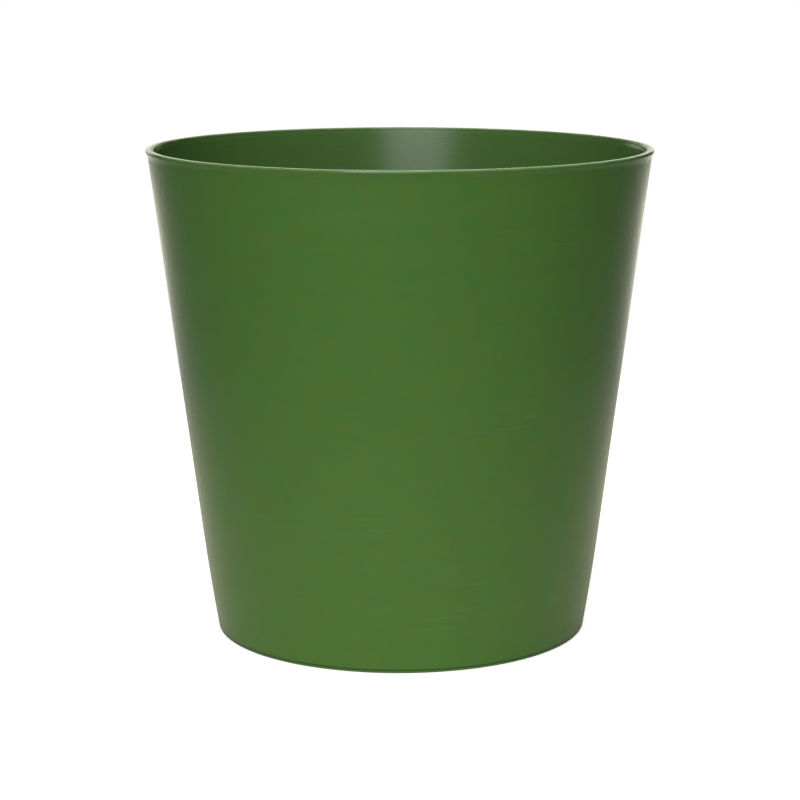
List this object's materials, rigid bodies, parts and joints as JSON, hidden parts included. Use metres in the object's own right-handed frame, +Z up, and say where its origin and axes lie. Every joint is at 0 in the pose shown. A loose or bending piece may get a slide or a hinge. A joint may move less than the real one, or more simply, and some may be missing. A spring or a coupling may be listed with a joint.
{
  "type": "florist bucket",
  "caption": "Tapered round bucket with a rolled rim and a hollow foot, for standing cut flowers in water.",
  "frame": {"origin": "centre of the face the bucket stands on", "axes": "+Z up along the bucket's axis; the bucket is round, so X and Y are free"},
  "size_m": [0.25, 0.25, 0.242],
  "materials": {
    "green_plastic": "satin, with very fine level streaks"
  },
  "bodies": {
    "root": {"bucket": "green_plastic"}
  },
  "joints": []
}
